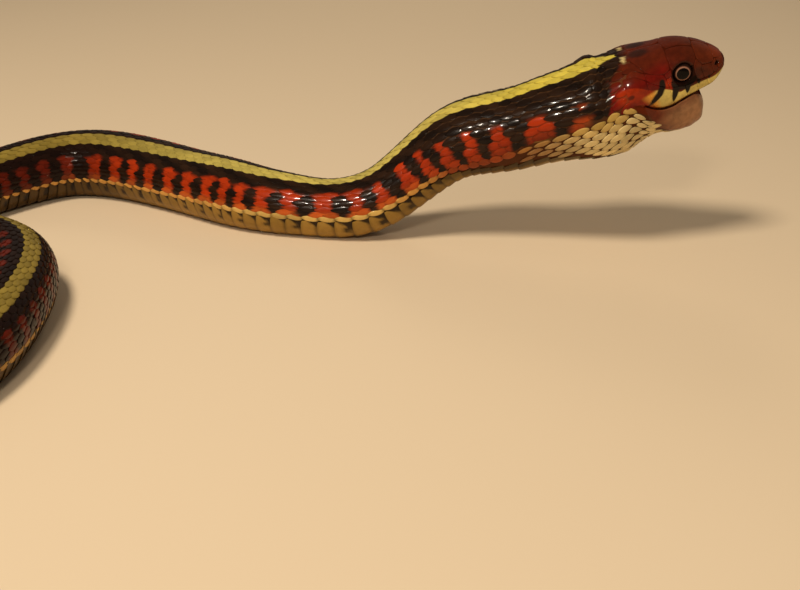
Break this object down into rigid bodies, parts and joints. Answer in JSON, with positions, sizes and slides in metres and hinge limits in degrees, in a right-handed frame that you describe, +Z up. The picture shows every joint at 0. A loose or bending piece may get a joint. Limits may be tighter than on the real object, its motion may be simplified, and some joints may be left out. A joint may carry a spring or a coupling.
{
  "type": "garter snake",
  "caption": "Life-size still model of a young red-sided garter snake lying in bends, neck and head raised, mouth open.",
  "frame": {"origin": "on the floor, under the middle of the whole snake's bounding box", "axes": "+X the way the head points and the longest extent, +Z up from the floor, +Y to the snake's left at the head"},
  "size_m": [0.0954, 0.0668, 0.0172],
  "materials": {
    "body_scales": "near-black keeled scales with red bars, a yellow back stripe and a cream side stripe, wet-looking",
    "head_scales": "smooth glossy shields, brick red to maroon, cream lips barred with black",
    "mouth_lining": "wet pinkish-brown skin of the mouth",
    "eye": "clear glossy cap over a round black pupil and a thin golden-brown iris"
  },
  "bodies": {
    "root": {"head": "head_scales", "lower_jaw": "mouth_lining", "eye_left": "eye", "eye_right": "eye", "neck": "body_scales", "body_1": "body_scales", "body_2": "body_scales", "body_3": "body_scales", "body_4": "body_scales", "body_5": "body_scales", "body_6": "body_scales", "body_7": "body_scales", "body_8": "body_scales", "body_9": "body_scales", "body_10": "body_scales", "tail_1": "body_scales", "tail_2": "body_scales", "tail_3": "body_scales", "tail_4": "body_scales"}
  },
  "joints": []
}
